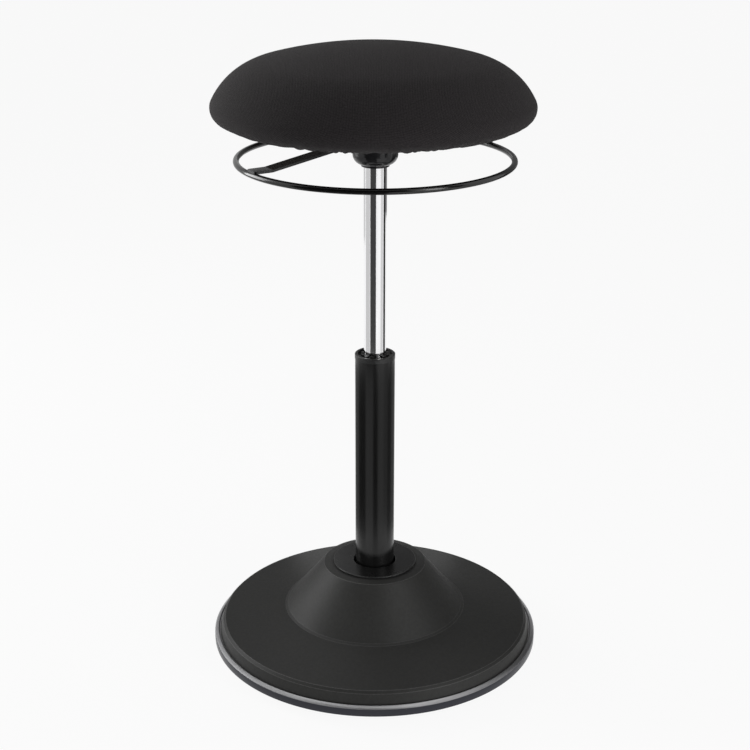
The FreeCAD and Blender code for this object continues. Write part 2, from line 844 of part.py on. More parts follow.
def make_pressure_tube():
    body = new_body("pressure_tube")
    chamfer = dim.cylinder_chamfer
    turned(body, "tube", [
        (dim.cylinder_radius - dim.crimp_width, cylinder_foot),
        (dim.cylinder_radius - chamfer, cylinder_foot),
        (dim.cylinder_radius, cylinder_foot + chamfer),
        (dim.cylinder_radius, taper_foot),
        (dim.taper_top_radius, cylinder_top),
        (dim.taper_top_radius - dim.cylinder_wall, cylinder_top),
        (cylinder_bore, taper_foot),
        (cylinder_bore, crimp_top),
        (dim.cylinder_radius - dim.crimp_width, crimp_top),
    ])


def make_cylinder_insides():
    guide = new_body("rod_guide")
    turned(guide, "bush", rectangle(
        dim.rod_radius + dim.rod_fit, cylinder_bore, crimp_top, rod_guide_top))
    seal = new_body("rod_seal")
    turned(seal, "ring", rectangle(
        dim.rod_radius + dim.rod_fit, cylinder_bore, rod_guide_top, rod_seal_top))
    inner = new_body("inner_tube")
    turned(inner, "tube", rectangle(
        inner_tube_bore, dim.inner_tube_radius, rod_seal_top, valve_foot))
    valve = new_body("valve_body")
    neck_foot = valve_top - dim.valve_neck_height
    pin_bore = dim.pin_radius + dim.pin_fit
    turned(valve, "plug", [
        (0, valve_foot),
        (cylinder_bore, valve_foot),
        (cylinder_bore, neck_foot),
        (dim.valve_neck_radius, neck_foot),
        (dim.valve_neck_radius, valve_top),
        (pin_bore, valve_top),
        (pin_bore, pin_bore_floor),
        (0, pin_bore_floor),
    ])


def make_release_pin():
    body = new_body("release_pin")
    top = bar_middle_foot - dim.pin_head_gap
    turned(body, "pin", [
        (0, pin_bore_floor + dim.pin_foot_play),
        (dim.pin_radius, pin_bore_floor + dim.pin_foot_play),
        (dim.pin_radius, top - dim.pin_dome),
        (dim.pin_radius - dim.pin_dome, top),
        (0, top),
    ])


# Hub: taper sleeve, bell, mounting plate and the pivot of the release bar


def make_taper_sleeve():
    body = new_body("taper_sleeve")
    slope = (dim.cylinder_radius - dim.taper_top_radius) / (cylinder_top - taper_foot)
    mouth = dim.cylinder_radius - (sleeve_foot - taper_foot) * slope
    turned(body, "sleeve", [
        (mouth, sleeve_foot),
        (dim.sleeve_radius, sleeve_foot),
        (dim.sleeve_radius, plate_floor),
        (dim.taper_top_radius, plate_floor),
        (dim.taper_top_radius, cylinder_top),
    ])
    window = outline(body, "window_outline", rectangle(
        -dim.window_half_width, dim.window_half_width, window_foot, plate_floor),
        plane="YZ_Plane")
    cut(body, "window", window, 2 * dim.bell_radius, both_ways=True)
    bind(body, "Placement.Rotation.Angle", dim.bar_azimuth)


def tangent_radius(across, up):
    """Radius of the arc over this width and height that ends upright."""
    return (across * across + up * up) / (2 * across)


def make_hub_bell():
    body = new_body("hub_bell")
    lip_top = bell_foot + dim.bell_lip_height
    inner = dim.bell_radius - dim.bell_wall
    inner_foot = lip_top + dim.bell_wall
    shoulder = bell_shoulder_height
    turned(body, "bell", [
        (dim.bell_mouth_radius, bell_foot),
        (dim.bell_lip_radius, bell_foot),
        (dim.bell_lip_radius, lip_top,
         tangent_radius(dim.bell_radius - dim.bell_lip_radius, shoulder - lip_top), True),
        (dim.bell_radius, shoulder),
        (dim.bell_radius, plate_floor),
        (inner, plate_floor),
        (inner, shoulder, tangent_radius(inner - dim.sleeve_radius, shoulder - inner_foot), False),
        (dim.sleeve_radius, inner_foot),
        (dim.bell_mouth_radius, lip_top),
    ])
    slot = outline(body, "slot_outline", rectangle(
        -dim.slot_half_width, dim.slot_half_width, window_foot, slot_head),
        plane="YZ_Plane")
    cut(body, "slot", slot, 4 * dim.bell_radius, both_ways=True)
    bind(body, "Placement.Rotation.Angle", dim.bar_azimuth)


def make_seat_plate():
    body = new_body("seat_plate")
    high = plate_floor + dim.plate_thick
    turned(body, "disc", [
        (0, plate_floor),
        (dim.plate_radius - dim.plate_chamfer, plate_floor),
        (dim.plate_radius, plate_floor + dim.plate_chamfer),
        (dim.plate_radius, high),
        (0, high),
    ])
    way = circle(body, "bolt_way_circle", dim.pan_bolt_circle, 0,
                 dim.pan_bolt_radius + dim.pan_hole_play, lift=high)
    ways = cut(body, "bolt_way", way, dim.plate_thick)
    repeat(body, "bolt_ways", [ways], dim.pan_bolt_count)


cheek_inner = dim.bar_width / 2 + dim.cheek_play
cheek_outer = cheek_inner + dim.cheek_thick


def make_lever_bracket():
    body = new_body("lever_bracket")
    near = -dim.pivot_offset - dim.cheek_half_length
    far = -dim.pivot_offset + dim.cheek_half_length
    block = outline(body, "block_outline", rectangle(near, far, cheek_foot, plate_floor))
    extrude(body, "block", block, 2 * cheek_outer, both_ways=True)
    web_foot = plate_floor - dim.bracket_web_thick
    margin = dim.cheek_half_length
    throat = outline(body, "throat_outline", rectangle(
        near - margin, far + margin, cheek_foot - margin, web_foot))
    cut(body, "throat", throat, 2 * cheek_inner, both_ways=True)
    hole = circle(body, "pin_hole_circle", -dim.pivot_offset, pivot_height,
                  dim.pivot_pin_radius, plane="XZ_Plane")
    cut(body, "pin_hole", hole, 2 * cheek_outer, both_ways=True)
    bind(body, "Placement.Rotation.Angle", dim.bar_azimuth)


def make_lever_pin():
    body = new_body("lever_pin")
    shaft = circle(body, "shaft_circle", -dim.pivot_offset, pivot_height,
                   dim.pivot_pin_radius, plane="XZ_Plane")
    pin = extrude(body, "shaft", shaft, 2 * (cheek_outer + dim.pin_overhang), both_ways=True)
    doc.recompute()
    ends = [f"Edge{index + 1}" for index, edge in enumerate(pin.Shape.Edges)
            if isinstance(edge.Curve, Part.Circle)]
    soften(body, "ends", pin, ends, dim.pivot_chamfer, "PartDesign::Chamfer")
    bind(body, "Placement.Rotation.Angle", dim.bar_azimuth)


# Release ring, lifted with the fingers, and the bar that crosses it

def make_release_ring():
    body = new_body("release_ring")
    rod = circle(body, "rod_circle", dim.ring_radius, ring_height, dim.ring_rod_radius,
                 plane="XZ_Plane")
    revolve(body, "rod", rod)


def make_cross_bar():
    body = new_body("cross_bar")
    foot_low = ring_height + dim.ring_rod_radius - dim.bar_saddle_depth
    foot_high = foot_low + dim.bar_thick
    middle_low = bar_middle_foot
    middle_high = bar_middle_top
    right_top = [(dim.bar_end, foot_high), (dim.bar_foot_start, foot_high),
                 (dim.bar_middle_half, middle_high)]
    right_low = [(dim.bar_end, foot_low), (dim.bar_foot_start, foot_low),
                 (dim.bar_middle_half, middle_low)]
    left_top = [(-across, up) for across, up in reversed(right_top)]
    left_low = [(-across, up) for across, up in right_low]
    side = outline(body, "side_outline", right_top + left_top + left_low + right_low[::-1])
    strip = extrude(body, "strip", side, dim.bar_width, both_ways=True)
    doc.recompute()
    corners = []
    for index, edge in enumerate(strip.Shape.Edges):
        span = edge.BoundBox
        upright = span.XLength < LENGTH_TOLERANCE and span.YLength < LENGTH_TOLERANCE
        if upright and abs(abs(span.XMin) - dim.bar_end.number) < LENGTH_TOLERANCE:
            corners.append(f"Edge{index + 1}")
    soften(body, "end_rounds", strip, corners, dim.bar_end_fillet)
    saddle = circle(body, "saddle_circle", dim.ring_radius, ring_height, dim.ring_rod_radius,
                    plane="XZ_Plane")
    ring_groove(body, "saddle", saddle)
    neck = outline(body, "eye_neck_outline", rectangle(
        -dim.pivot_offset - dim.eye_radius, -dim.pivot_offset + dim.eye_radius,
        middle_high - dim.bar_thick / 2, pivot_height))
    extrude(body, "eye_neck", neck, dim.bar_width, both_ways=True)
    eye = circle(body, "eye_circle", -dim.pivot_offset, pivot_height, dim.eye_radius,
                 plane="XZ_Plane")
    extrude(body, "eye", eye, dim.bar_width, both_ways=True)
    hole = circle(body, "eye_hole_circle", -dim.pivot_offset, pivot_height,
                  dim.pivot_pin_radius + dim.pivot_fit, plane="XZ_Plane")
    cut(body, "eye_hole", hole, 2 * dim.bar_width, both_ways=True)
    bind(body, "Placement.Rotation.Angle", dim.bar_azimuth)


# Seat pan, its nuts and bolts, foam and fabric cover

pan_floor = plate_floor + dim.plate_thick
pan_top = pan_floor + dim.pan_thick
cushion_foot = pan_floor - dim.cushion_foot_drop
seat_widest_height = cushion_foot + dim.cushion_edge_rise
seat_top = cushion_foot + dim.cushion_rise


def make_seat_pan():
    body = new_body("seat_pan")
    turned(body, "panel", [
        (0, pan_floor),
        (dim.pan_flat_radius, pan_floor),
        (dim.pan_radius, pan_floor + dim.pan_edge_rise),
        (dim.pan_radius, pan_top),
        (0, pan_top),
    ])
    way = circle(body, "nut_way_circle", dim.pan_bolt_circle, 0,
                 dim.nut_barrel_radius, lift=pan_top)
    ways = cut(body, "nut_way", way, dim.pan_thick)
    rest = circle(body, "nut_rest_circle", dim.pan_bolt_circle, 0,
                  dim.nut_flange_radius, lift=pan_top)
    rests = cut(body, "nut_rest", rest, dim.nut_flange_thick)
    repeat(body, "nut_seats", [ways, rests], dim.pan_bolt_count)


def make_pan_nuts():
    body = new_body("pan_nuts")
    flange = circle(body, "flange_circle", dim.pan_bolt_circle, 0, dim.nut_flange_radius, lift=pan_top)
    flanges = extrude(body, "flange", flange, dim.nut_flange_thick, reverse=True)
    barrel = circle(body, "barrel_circle", dim.pan_bolt_circle, 0, dim.nut_barrel_radius,
                    lift=pan_top - dim.nut_flange_thick)
    barrels = extrude(body, "barrel", barrel, dim.nut_barrel_depth, reverse=True)
    repeat(body, "nuts", [flanges, barrels], dim.pan_bolt_count)
    thread = circle(body, "thread_circle", dim.pan_bolt_circle, 0, dim.pan_bolt_radius, lift=pan_top)
    threads = cut(body, "thread", thread, dim.nut_flange_thick + dim.nut_barrel_depth)
    repeat(body, "threads", [threads], dim.pan_bolt_count)


def make_pan_bolts():
    body = new_body("pan_bolts")
    head = circle(body, "head_circle", dim.pan_bolt_circle, 0, dim.pan_bolt_head_radius,
                  lift=plate_floor - dim.pan_bolt_head)
    heads = extrude(body, "head", head, dim.pan_bolt_head)
    shank = circle(body, "shank_circle", dim.pan_bolt_circle, 0, dim.pan_bolt_radius,
                   lift=plate_floor)
    shanks = extrude(body, "shank", shank, dim.plate_thick + dim.pan_bolt_reach)
    repeat(body, "bolts", [heads, shanks], dim.pan_bolt_count)
    key = outline(body, "key_outline", hexagon(dim.pan_bolt_circle, sized(0), dim.pan_bolt_key),
                  plane="XY_Plane", lift=plate_floor - dim.pan_bolt_head)
    keys = cut(body, "key", key, dim.pan_bolt_key_depth, reverse=True)
    repeat(body, "keys", [keys], dim.pan_bolt_count)


def cushion_arcs(depth):
    """The cushion's side view as four tangent arcs from the crown to the underside, this deep
    inside its surface. Gives the corners where the arcs start, and the last arc's centre."""
    crown, shoulder, edge, under = [
        arc - depth for arc in
        (dim.crown_radius, dim.shoulder_radius, dim.edge_radius, dim.underside_radius)]
    crown_z = seat_top - dim.crown_radius
    edge_x = dim.seat_radius - dim.edge_radius
    edge_z = seat_widest_height
    crown_gap = dim.crown_radius - dim.shoulder_radius
    edge_gap = dim.shoulder_radius - dim.edge_radius
    rise = edge_z - crown_z
    span = root(edge_x * edge_x + rise * rise)
    along = (span * span + crown_gap * crown_gap - edge_gap * edge_gap) / (2 * span)
    aside = root(crown_gap * crown_gap - along * along)
    shoulder_x = (along * edge_x - aside * rise) / span
    shoulder_z = crown_z + (along * rise + aside * edge_x) / span
    under_gap = dim.underside_radius - dim.edge_radius
    under_z = cushion_foot + dim.underside_radius
    drop = under_z - edge_z
    under_x = edge_x - root(under_gap * under_gap - drop * drop)
    starts = [
        (0, seat_top - depth, crown, False),
        (crown / crown_gap * shoulder_x,
         crown_z + crown / crown_gap * (shoulder_z - crown_z), shoulder, False),
        (edge_x + edge / edge_gap * (edge_x - shoulder_x),
         edge_z + edge / edge_gap * (edge_z - shoulder_z), edge, False),
        (under_x + under / under_gap * (edge_x - under_x),
         under_z - under / under_gap * drop, under, False),
    ]
    return starts, (under_x, under_z)


def underside_point(depth, centre, across):
    """The point of the cushion's underside arc at this radius."""
    arc = dim.underside_radius - depth
    reach = across - centre[0]
    return (across, centre[1] - root(arc * arc - reach * reach))


def reversed_arcs(starts, last):
    """The same arcs run back from their last point to their first."""
    backwards = []
    corner = last
    for start in reversed(starts):
        backwards.append((corner[0], corner[1], start[2], True))
        corner = start
    return backwards + [(corner[0], corner[1])]


def make_seat_cover():
    body = new_body("seat_cover")
    outside, centre = cushion_arcs(sized(0))
    inside, centre = cushion_arcs(dim.cover_cloth_thick)
    hem_outside = underside_point(sized(0), centre, dim.hem_radius)
    hem_inside = underside_point(dim.cover_cloth_thick, centre, dim.hem_radius)
    turned(body, "cloth", outside + [hem_outside] + reversed_arcs(inside, hem_inside))


def make_seat_foam():
    body = new_body("seat_foam")
    starts, centre = cushion_arcs(dim.cover_cloth_thick)
    lip = underside_point(dim.cover_cloth_thick, centre, dim.pan_radius + dim.foam_lip)
    turned(body, "cushion", starts + [
        lip,
        (dim.pan_radius, pan_floor + dim.pan_edge_rise),
        (dim.pan_radius, pan_top),
        (0, pan_top),
    ])


def make_hem_elastic():
    body = new_body("hem_elastic")
    outer = dim.hem_radius - dim.elastic_gap
    top = pan_floor - dim.elastic_gap
    turned(body, "band", rectangle(
        outer - dim.elastic_width, outer, top - dim.elastic_thick, top))


make_sole()
make_base_tray()
make_weight_plate()
make_rim_ring()
make_base_cover()
make_cover_screws()
make_collar()
make_column_socket()
make_socket_bolts()
make_outer_tube()
make_guide_bushing()
make_thrust_bearing()
make_piston_rod()
make_retaining_clip()
make_bumper()
make_piston()
make_pressure_tube()
make_cylinder_insides()
make_release_pin()
make_taper_sleeve()
make_hub_bell()
make_seat_plate()
make_lever_bracket()
make_lever_pin()
make_release_ring()
make_cross_bar()
make_seat_pan()
make_pan_nuts()
make_pan_bolts()
make_seat_foam()
make_seat_cover()
make_hem_elastic()
doc.recompute()

# Every object and solid is sound before any file is written

for item in doc.Objects:
    if "Invalid" in item.State or "Error" in item.State:
        raise RuntimeError(f"{item.Label} could not be built")
for body in bodies:
    if body.Shape.isNull() or not body.Shape.isValid():
        raise RuntimeError(f"{body.Label} has no sound solid")
for body in bodies:
    body.Shape.exportStep(f"parts/{body.Label}.step")
    box = body.Shape.BoundBox
    print(f"{body.Label:16s} solids {len(body.Shape.Solids):2d}  volume {body.Shape.Volume:11.1f}"
          f"  up {box.ZMin:6.1f} to {box.ZMax:6.1f}")
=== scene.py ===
# %% [markdown]
# # A perch stool, dressed
# A perch stool is a tall seat without a back. A domed cushion sits on a gas column, the column stands
# in a heavy round foot, and a ring under the cushion is lifted to set the height.
# All the hard parts are already modelled to size. They are loaded as a fixed frame, and the cells
# below add what that frame lacks: the cloth, the foam, every finish, the studio and the camera.

# %% Load the frame
import math

import bmesh
import bpy
from mathutils import Matrix, Vector, noise


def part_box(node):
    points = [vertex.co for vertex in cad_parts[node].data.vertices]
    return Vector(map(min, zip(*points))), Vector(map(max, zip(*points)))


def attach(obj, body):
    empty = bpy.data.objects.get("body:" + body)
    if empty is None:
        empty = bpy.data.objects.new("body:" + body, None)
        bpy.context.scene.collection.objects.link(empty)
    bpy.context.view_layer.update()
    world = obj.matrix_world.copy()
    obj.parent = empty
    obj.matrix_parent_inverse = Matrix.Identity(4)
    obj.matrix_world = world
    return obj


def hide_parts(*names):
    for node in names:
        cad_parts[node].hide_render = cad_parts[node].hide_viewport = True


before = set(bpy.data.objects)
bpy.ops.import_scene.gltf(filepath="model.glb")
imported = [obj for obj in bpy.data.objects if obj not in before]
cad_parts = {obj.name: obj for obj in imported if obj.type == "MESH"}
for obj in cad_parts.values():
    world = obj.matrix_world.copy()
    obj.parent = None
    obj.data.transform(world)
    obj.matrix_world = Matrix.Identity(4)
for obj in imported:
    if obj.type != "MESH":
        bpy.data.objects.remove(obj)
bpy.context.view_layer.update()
scene = bpy.context.scene
scene.view_settings.view_transform = "Standard"
print("parts in the frame:", len(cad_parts))

# %% [markdown]
# ## The camera
# The stool was seen from about chest height, a little less than two metres away, with a short
# telephoto lens. A long lens keeps the round foot from looking stretched.
# The camera is placed by its distance, its height and its tilt, and leans by a tenth of a degree.

# %% Place the camera
CAMERA_DISTANCE = 1.802
CAMERA_HEIGHT = 1.0433
CAMERA_TILT = 20.36
CAMERA_LEAN = 0.105
LENS_MM = 73.4
SENSOR_MM = 36.0

camera_data = bpy.data.cameras.new("stool_camera")
camera_data.sensor_width = SENSOR_MM
camera_data.lens = LENS_MM
camera = bpy.data.objects.new("stool_camera", camera_data)
scene.collection.objects.link(camera)
camera.matrix_world = (
    Matrix.Translation((0.0, -CAMERA_DISTANCE, CAMERA_HEIGHT))
    @ Matrix.Rotation(math.radians(90.0 - CAMERA_TILT), 4, "X")
    @ Matrix.Rotation(math.radians(CAMERA_LEAN), 4, "Z"))
scene.camera = camera
print("camera at", [round(value, 3) for value in camera.location])

# %% [markdown]
# ## Putting a mesh in the scene
# Most pieces here are made the same way: a bmesh is shaped, its doubles are merged, its faces are
# turned outwards, and it becomes an object. One helper does that. Most pieces are also round, so a
# second helper spins an outline once round the stool's own axis.

# %% Helpers for turned pieces
SEAM_REACH = 0.00001


def settle(bm, name, smooth=True):
    """Close the seams of a bmesh, face it outwards and link it as an object."""
    bmesh.ops.remove_doubles(bm, verts=bm.verts, dist=SEAM_REACH)
    bmesh.ops.recalc_face_normals(bm, faces=bm.faces)
    for face in bm.faces:
        face.smooth = smooth
    mesh = bpy.data.meshes.new(name)
    bm.to_mesh(mesh)
    bm.free()
    made = bpy.data.objects.new(name, mesh)
    scene.collection.objects.link(made)
    return made


def spin_round(bm, steps):
    """Turn an outline that lies in the XZ plane once round the stool's own axis."""
    bmesh.ops.spin(
        bm, geom=bm.verts[:] + bm.edges[:], cent=(0, 0, 0), axis=(0, 0, 1),
        angle=math.tau, steps=steps, use_merge=True)


# %% [markdown]
# Two of the turned pieces, the edge trim of the foot and the elastic in the hem, start from a small
# closed outline. Real edges are never quite sharp, so its corners are bevelled before it is spun.

# %% A helper for a small outline with rounded corners
def rounded_outline(places, rounding, segments):
    """A closed outline in the XZ plane through these places, with every corner rounded."""
    bm = bmesh.new()
    corners = [bm.verts.new((across, 0.0, up)) for across, up in places]
    for first, second in zip(corners, corners[1:] + corners[:1]):
        bm.edges.new((first, second))
    bmesh.ops.bevel(
        bm, geom=corners, offset=rounding, offset_type="OFFSET", segments=segments,
        profile=0.5, affect="VERTICES", material=-1)
    return bm


# %% [markdown]
# ## The studio
# The photograph has a pale sweep with no horizon, and a wide floor is enough here. Its colour is
# lifted towards white only where the camera, a reflection or a see-through surface looks at it, so
# it pours no extra light on the stool. A small share of plain paint is left in it for a soft shadow
# under the foot. It lies a hair below the sole, so that the two faces don't lie in one plane.

# %% The pale floor
FLOOR_REACH = 14.0
FLOOR_GAP = 0.0004
FLOOR_SHADE = 0.86
PAPER_WHITE = 0.985
PAPER_GLOW = 0.94


def grey(level):
    """A neutral colour of this brightness."""
    return (level, level, level, 1.0)


def seen_or_mirrored(nodes, links):
    """One where a ray comes from the camera, a reflection or a see-through surface."""
    path = nodes.new("ShaderNodeLightPath")
    pair = nodes.new("ShaderNodeMath")
    pair.operation = "MAXIMUM"
    links.new(path.outputs["Is Camera Ray"], pair.inputs[0])
    links.new(path.outputs["Is Glossy Ray"], pair.inputs[1])
    every = nodes.new("ShaderNodeMath")
    every.operation = "MAXIMUM"
    links.new(pair.outputs[0], every.inputs[0])
    links.new(path.outputs["Is Transmission Ray"], every.inputs[1])
    return every.outputs[0]


floor_bm = bmesh.new()
bmesh.ops.create_circle(floor_bm, cap_ends=True, segments=96, radius=FLOOR_REACH)
floor = settle(floor_bm, "studio_floor", smooth=False)
floor.location.z = -FLOOR_GAP
floor_paint = bpy.data.materials.new("pale paper sweep")
floor_paint.use_nodes = True
nodes, links = floor_paint.node_tree.nodes, floor_paint.node_tree.links
paper = nodes["Principled BSDF"]
paper.inputs["Base Color"].default_value = grey(FLOOR_SHADE)
paper.inputs["Roughness"].default_value = 0.9
paper.inputs["Specular IOR Level"].default_value = 0.1
glow = nodes.new("ShaderNodeEmission")
glow.inputs["Color"].default_value = grey(PAPER_WHITE)
share = nodes.new("ShaderNodeMath")
share.operation = "MULTIPLY"
share.inputs[1].default_value = PAPER_GLOW
links.new(seen_or_mirrored(nodes, links), share.inputs[0])
blend = nodes.new("ShaderNodeMixShader")
links.new(share.outputs[0], blend.inputs[0])
links.new(paper.outputs[0], blend.inputs[1])
links.new(glow.outputs[0], blend.inputs[2])
links.new(blend.outputs[0], nodes["Material Output"].inputs["Surface"])
floor.data.materials.append(floor_paint)
print("floor across:", 2 * FLOOR_REACH)

# %% [markdown]
# The world is the same pale colour to the eye, and a quieter grey as a source of light. The rest of
# the light comes from large lamps, so the shapes turn softly from light to dark.

# %% The pale surroundings
AMBIENT = 0.26

world = bpy.data.worlds.new("studio")
scene.world = world
world.use_nodes = True
nodes, links = world.node_tree.nodes, world.node_tree.links
ambient = nodes["Background"]
ambient.inputs["Color"].default_value = grey(AMBIENT)
seen = nodes.new("ShaderNodeBackground")
seen.inputs["Color"].default_value = grey(PAPER_WHITE)
blend = nodes.new("ShaderNodeMixShader")
links.new(seen_or_mirrored(nodes, links), blend.inputs[0])
links.new(ambient.outputs[0], blend.inputs[1])
links.new(seen.outputs[0], blend.inputs[2])
links.new(blend.outputs[0], nodes["World Output"].inputs["Surface"])
print("light from all round:", AMBIENT)

# %% [markdown]
# Four lamps do the shaping. The strongest stands on the left and a little behind, and a weaker one at
# the front right. A faint one hangs overhead. A small one near the floor in front lights the turn
# under the cushion, and reflections don't see it, or it would show in the ring and the column. Each
# is a big rectangle, which gives shadows without an edge.

# %% Hang the lamps
def hang_lamp(name, place, aim, width, height, power):
    """A large soft lamp at a place, turned towards the point that it lights."""
    data = bpy.data.lights.new(name, "AREA")
    data.shape = "RECTANGLE"
    data.size = width
    data.size_y = height
    data.energy = power
    lamp = bpy.data.objects.new(name, data)
    scene.collection.objects.link(lamp)
    lamp.location = place
    lamp.rotation_euler = (Vector(aim) - Vector(place)).to_track_quat("-Z", "Y").to_euler()
    return lamp


# name, place, aim, width, height, power in watts
LAMPS = [
    ("left_lamp", (-2.0, 0.7, 0.95), (0, 0, 0.35), 1.1, 1.5, 33),
    ("right_lamp", (1.7, -1.5, 1.1), (0, 0, 0.4), 0.8, 1.6, 20),
    ("top_lamp", (0.0, 0.2, 2.6), (0, 0, 0.5), 1.8, 1.2, 3),
    ("low_lamp", (0.3, -1.4, 0.1), (0, 0, 0.75), 0.9, 0.3, 8),
]
lamps = {row[0]: hang_lamp(*row) for row in LAMPS}
lamps["low_lamp"].visible_glossy = False
print("lamps:", len(lamps))

# %% [markdown]
# A polished tube shows the room, not its own colour. In a white room it would be white all over and
# would seem to vanish, so photographers stand boards round it. These boards are curved strips about
# the stool that only reflections can see. Each stands in front of a part of the white room. Dark
# ones draw the dark lines down the chrome, the column and the ring, and grey ones soften the bands
# between them.

# %% Stand the boards
BOARD_STEPS = 12


def stand_board(name, turn_from, turn_to, near, low, high, shade):
    """A curved upright board that is seen by reflections alone. Turns are from the camera's side."""
    bm = bmesh.new()
    foot = bm.verts.new((0.0, -near, low))
    head = bm.verts.new((0.0, -near, high))
    edge = bm.edges.new((foot, head))
    bmesh.ops.rotate(
        bm, verts=bm.verts, cent=(0, 0, 0), matrix=Matrix.Rotation(math.radians(turn_from), 3, "Z"))
    bmesh.ops.spin(
        bm, geom=[foot, head, edge], cent=(0, 0, 0), axis=(0, 0, 1),
        angle=math.radians(turn_to - turn_from), steps=BOARD_STEPS)
    board = settle(bm, name)
    paint = bpy.data.materials.new(name + " paint")
    paint.use_nodes = True
    nodes, links = paint.node_tree.nodes, paint.node_tree.links
    glow = nodes.new("ShaderNodeEmission")
    glow.inputs["Color"].default_value = grey(shade)
    links.new(glow.outputs[0], nodes["Material Output"].inputs["Surface"])
    board.data.materials.append(paint)
    board.visible_camera = False
    board.visible_diffuse = False
    board.visible_shadow = False
    board.visible_transmission = False


# name, turn from and to in degrees, distance from the axis, lower and upper edge, brightness
BOARDS = [
    ("chrome_dark_front", -50, 8, 0.3, 0.3, 0.6, 0.05),
    ("chrome_dark_right", 90, 120, 0.3, 0.3, 0.6, 0.02),
    ("chrome_grey_left", -108, -54, 0.3, 0.3, 0.6, 0.6),
    ("chrome_grey_right", 56, 84, 0.3, 0.3, 0.6, 0.66),
    ("column_grey", -60, 50, 0.33, 0.02, 0.29, 0.42),
    ("column_grey_right", 50, 78, 0.33, 0.02, 0.29, 0.25),
    ("column_dark_front", -10, 16, 0.3, 0.02, 0.29, 0.01),
    ("column_dark_left", -105, -54, 0.3, 0.02, 0.29, 0.04),
    ("column_dark_right", 76, 108, 0.3, 0.02, 0.29, 0.08),
    ("column_edge_left", -155, -106, 0.3, 0.02, 0.29, 0.24),
    ("column_edge_right", 109, 155, 0.3, 0.02, 0.29, 0.26),
    ("ring_dark_left", -58, 24, 0.5, 0.545, 1.15, 0.02),
    ("ring_dark_right", 46, 62, 0.5, 0.545, 1.15, 0.02),
    ("back_bright_left", -174, -118, 1.1, 0.25, 1.3, 0.62),
    ("back_grey", 115, 185, 1.1, 0.3, 1.6, 0.2),
]
for row in BOARDS:
    stand_board(*row)
print("boards:", len(BOARDS))

# %% [markdown]
# ## A way to mix finishes
# Every finish starts from one Principled shader. Small helpers then do what most real surfaces need:
# a fine grain that tilts the light, a patchiness of gloss where hands and cleaning cloths have been,
# and a colour that drifts between two close shades. They read Object coordinates, which are metres
# on the real stool, so a scale of 1000 is a pattern about a millimetre wide.

# %% Helpers for a plain finish and a noise on it
def new_finish(name, colour, roughness, metallic=0.0, specular=0.5):
    """A finish with its shader's plain values set."""
    finish = bpy.data.materials.new(name)
    finish.use_nodes = True
    shader = finish.node_tree.nodes["Principled BSDF"]
    shader.inputs["Base Color"].default_value = (*colour, 1.0)
    shader.inputs["Roughness"].default_value = roughness
    shader.inputs["Metallic"].default_value = metallic
    shader.inputs["Specular IOR Level"].default_value = specular
    return finish


def shader_of(finish):
    """The one Principled shader of a finish."""
    return finish.node_tree.nodes["Principled BSDF"]


def placed_pattern(finish, stretch=(1, 1, 1)):
    """Object coordinates, squeezed or stretched along each axis."""
    nodes, links = finish.node_tree.nodes, finish.node_tree.links
    where = nodes.new("ShaderNodeTexCoord")
    mapping = nodes.new("ShaderNodeMapping")
    mapping.inputs["Scale"].default_value = stretch
    links.new(where.outputs["Object"], mapping.inputs["Vector"])
    return mapping.outputs[0]


def cloudy(finish, scale, detail=3.0, stretch=(1, 1, 1)):
    """A noise of this scale, from 0 to 1."""
    nodes, links = finish.node_tree.nodes, finish.node_tree.links
    clouds = nodes.new("ShaderNodeTexNoise")
    clouds.inputs["Scale"].default_value = scale
    clouds.inputs["Detail"].default_value = detail
    links.new(placed_pattern(finish, stretch), clouds.inputs["Vector"])
    return clouds.outputs["Fac"]


print("plain finishes can be mixed")

# %% [markdown]
# A noise seldom reaches 0 or 1, so its useful middle is spread over the values that are wanted.

# %% Helpers for gloss, colour and grain
NOISE_MIDDLE = (0.3, 0.7)
COLOUR_MIDDLE = (0.32, 0.68)
GLOSS_DETAIL = 4.0


def remap(finish, value, low, high, middle=NOISE_MIDDLE):
    """Spread the middle of a value's range from low to high."""
    nodes, links = finish.node_tree.nodes, finish.node_tree.links
    spread = nodes.new("ShaderNodeMapRange")
    spread.inputs["From Min"].default_value = middle[0]
    spread.inputs["From Max"].default_value = middle[1]
    spread.inputs["To Min"].default_value = low
    spread.inputs["To Max"].default_value = high
    links.new(value, spread.inputs["Value"])
    return spread.outputs[0]


def two_tones(finish, value, dark, light, middle=(0.0, 1.0)):
    """Colour the finish from dark to light as a value crosses the middle of its range."""
    nodes, links = finish.node_tree.nodes, finish.node_tree.links
    ramp = nodes.new("ShaderNodeValToRGB")
    for stop, place, tone in zip(ramp.color_ramp.elements, middle, (dark, light)):
        stop.position = place
        stop.color = (*tone, 1.0)
    links.new(value, ramp.inputs["Fac"])
    links.new(ramp.outputs["Color"], shader_of(finish).inputs["Base Color"])


def vary_gloss(finish, scale, low, high, stretch=(1, 1, 1)):
    """Let the roughness drift between two values."""
    gloss = remap(finish, cloudy(finish, scale, GLOSS_DETAIL, stretch), low, high)
    finish.node_tree.links.new(gloss, shader_of(finish).inputs["Roughness"])


def vary_colour(finish, scale, dark, light, stretch=(1, 1, 1)):
    """Let the colour drift between two close shades."""
    two_tones(finish, cloudy(finish, scale, stretch=stretch), dark, light, COLOUR_MIDDLE)


def add_grain(finish, value, strength, depth):
    """Tilt the light by a height pattern that stands this many metres deep."""
    nodes, links = finish.node_tree.nodes, finish.node_tree.links
    bump = nodes.new("ShaderNodeBump")
    bump.inputs["Strength"].default_value = strength
    bump.inputs["Distance"].default_value = depth
    links.new(value, bump.inputs["Height"])
    links.new(bump.outputs["Normal"], shader_of(finish).inputs["Normal"])


print("gloss, colour and grain can be varied")

